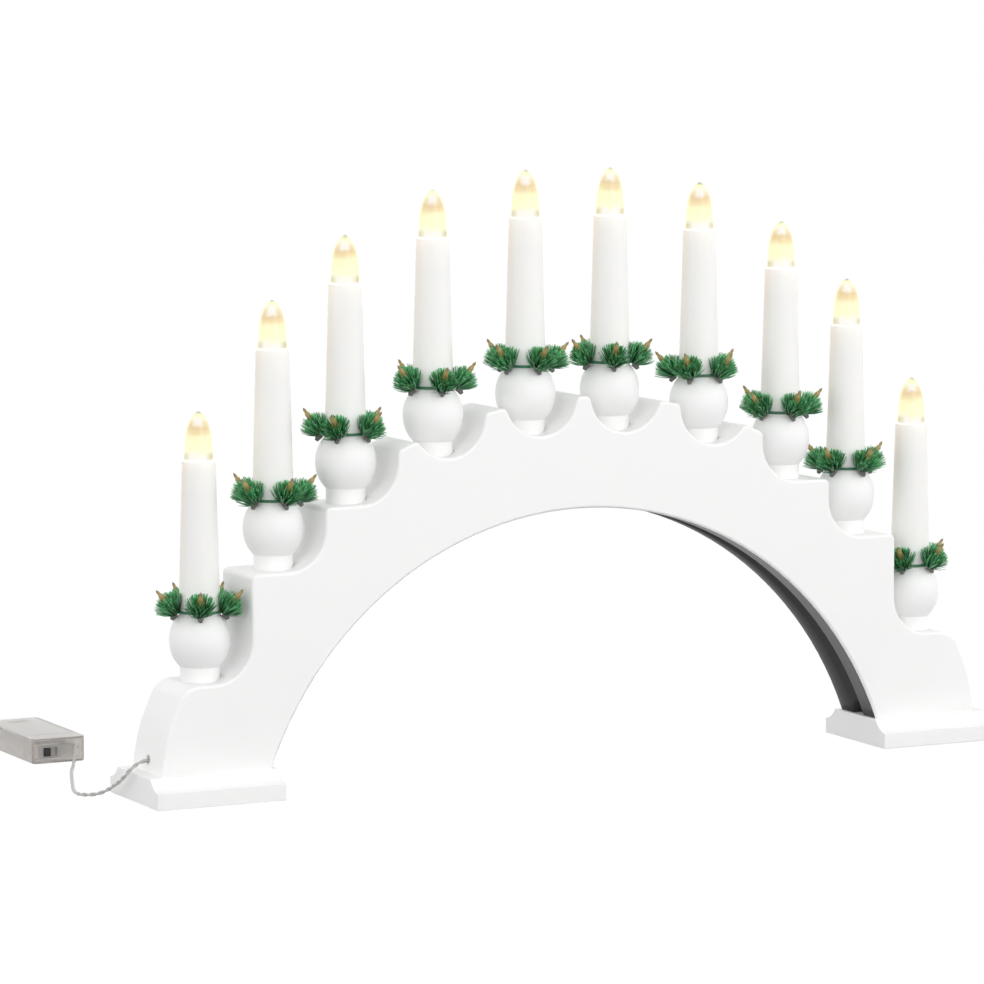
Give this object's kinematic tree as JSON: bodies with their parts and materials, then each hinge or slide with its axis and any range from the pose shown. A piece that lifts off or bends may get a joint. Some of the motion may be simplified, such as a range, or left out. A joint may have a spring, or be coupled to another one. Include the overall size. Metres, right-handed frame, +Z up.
{
  "type": "candle arch",
  "caption": "White arched table light with a row of electric candles in ball holders, needle sprig rings, moulded feet and a battery box with a slide switch on a cord",
  "frame": {"origin": "middle of the footprint of the two feet, on the surface they stand on", "axes": "+X along the arch to the right foot seen from the front, +Y from the front to the back, +Z up"},
  "size_m": [0.4912, 0.2178, 0.3013],
  "materials": {
    "white_paint": "white satin paint over wood",
    "candle_plastic": "warm white, slightly see-through",
    "flame_plastic": "clear, lit pale yellow from inside",
    "needle_green": "dark green needles, golden-brown buds, grey ferrules",
    "zinc_steel": "zinc plated",
    "socket_plastic": "plain",
    "diode_resin": "warm white, lit",
    "wire_insulation": "clear insulation over bright wire",
    "cord_insulation": "clear insulation over bright wire, twisted pair",
    "box_plastic": "grey-beige, slightly see-through",
    "black_plastic": "plain",
    "cell_can": "plain dark wrap, no marking",
    "contact_metal": "nickel plated spring steel"
  },
  "bodies": {
    "arch": {"arch_board": "white_paint", "left_foot": "white_paint", "right_foot": "white_paint", "foot_screws": "zinc_steel", "candle_holder_01": "white_paint", "candle_holder_02": "white_paint", "candle_holder_03": "white_paint", "candle_holder_04": "white_paint", "candle_holder_05": "white_paint", "candle_holder_06": "white_paint", "candle_holder_07": "white_paint", "candle_holder_08": "white_paint", "candle_holder_09": "white_paint", "candle_holder_10": "white_paint", "candle_tube_01": "candle_plastic", "candle_tube_02": "candle_plastic", "candle_tube_03": "candle_plastic", "candle_tube_04": "candle_plastic", "candle_tube_05": "candle_plastic", "candle_tube_06": "candle_plastic", "candle_tube_07": "candle_plastic", "candle_tube_08": "candle_plastic", "candle_tube_09": "candle_plastic", "candle_tube_10": "candle_plastic", "flame_lens_01": "flame_plastic", "flame_lens_02": "flame_plastic", "flame_lens_03": "flame_plastic", "flame_lens_04": "flame_plastic", "flame_lens_05": "flame_plastic", "flame_lens_06": "flame_plastic", "flame_lens_07": "flame_plastic", "flame_lens_08": "flame_plastic", "flame_lens_09": "flame_plastic", "flame_lens_10": "flame_plastic", "lamp_sockets": "socket_plastic", "lamp_diodes": "diode_resin", "wire_harness": "wire_insulation", "cord": "cord_insulation", "battery_base": "box_plastic", "switch_body": "black_plastic", "battery_cells": "cell_can", "battery_contacts": "contact_metal"},
    "battery_lid": {"battery_lid": "box_plastic"},
    "switch_knob": {"switch_knob": "black_plastic"},
    "sprig_ring_01": {"sprig_ring_01": "needle_green"},
    "sprig_ring_02": {"sprig_ring_02": "needle_green"},
    "sprig_ring_03": {"sprig_ring_03": "needle_green"},
    "sprig_ring_04": {"sprig_ring_04": "needle_green"},
    "sprig_ring_05": {"sprig_ring_05": "needle_green"},
    "sprig_ring_06": {"sprig_ring_06": "needle_green"},
    "sprig_ring_07": {"sprig_ring_07": "needle_green"},
    "sprig_ring_08": {"sprig_ring_08": "needle_green"},
    "sprig_ring_09": {"sprig_ring_09": "needle_green"},
    "sprig_ring_10": {"sprig_ring_10": "needle_green"}
  },
  "joints": [
    {"name": "switch_slide", "type": "slide", "parent": "arch", "child": "switch_knob", "axis": [1, 0, 0], "range_m": [0, 0.0036]},
    {"name": "lid_slide", "type": "slide", "parent": "arch", "child": "battery_lid", "axis": [0, 1, 0], "range_m": [0, 0.05]},
    {"name": "ring_turn_01", "type": "hinge", "parent": "arch", "child": "sprig_ring_01", "pos_m": [-0.20079, 0, 0.09101], "axis": [0, 0, 1], "range_deg": [0, 11]},
    {"name": "ring_turn_02", "type": "hinge", "parent": "arch", "child": "sprig_ring_02", "pos_m": [-0.16149, 0, 0.1435], "axis": [0, 0, 1], "continuous": true},
    {"name": "ring_turn_03", "type": "hinge", "parent": "arch", "child": "sprig_ring_03", "pos_m": [-0.12251, 0, 0.1741], "axis": [0, 0, 1], "continuous": true},
    {"name": "ring_turn_04", "type": "hinge", "parent": "arch", "child": "sprig_ring_04", "pos_m": [-0.07491, 0, 0.195], "axis": [0, 0, 1], "continuous": true},
    {"name": "ring_turn_05", "type": "hinge", "parent": "arch", "child": "sprig_ring_05", "pos_m": [-0.02379, 0, 0.20359], "axis": [0, 0, 1], "continuous": true},
    {"name": "ring_turn_06", "type": "hinge", "parent": "arch", "child": "sprig_ring_06", "pos_m": [0.02379, 0, 0.20359], "axis": [0, 0, 1], "continuous": true},
    {"name": "ring_turn_07", "type": "hinge", "parent": "arch", "child": "sprig_ring_07", "pos_m": [0.07491, 0, 0.195], "axis": [0, 0, 1], "continuous": true},
    {"name": "ring_turn_08", "type": "hinge", "parent": "arch", "child": "sprig_ring_08", "pos_m": [0.12251, 0, 0.1741], "axis": [0, 0, 1], "continuous": true},
    {"name": "ring_turn_09", "type": "hinge", "parent": "arch", "child": "sprig_ring_09", "pos_m": [0.16149, 0, 0.1435], "axis": [0, 0, 1], "continuous": true},
    {"name": "ring_turn_10", "type": "hinge", "parent": "arch", "child": "sprig_ring_10", "pos_m": [0.20079, 0, 0.09101], "axis": [0, 0, 1], "range_deg": [-10, 1]}
  ]
}
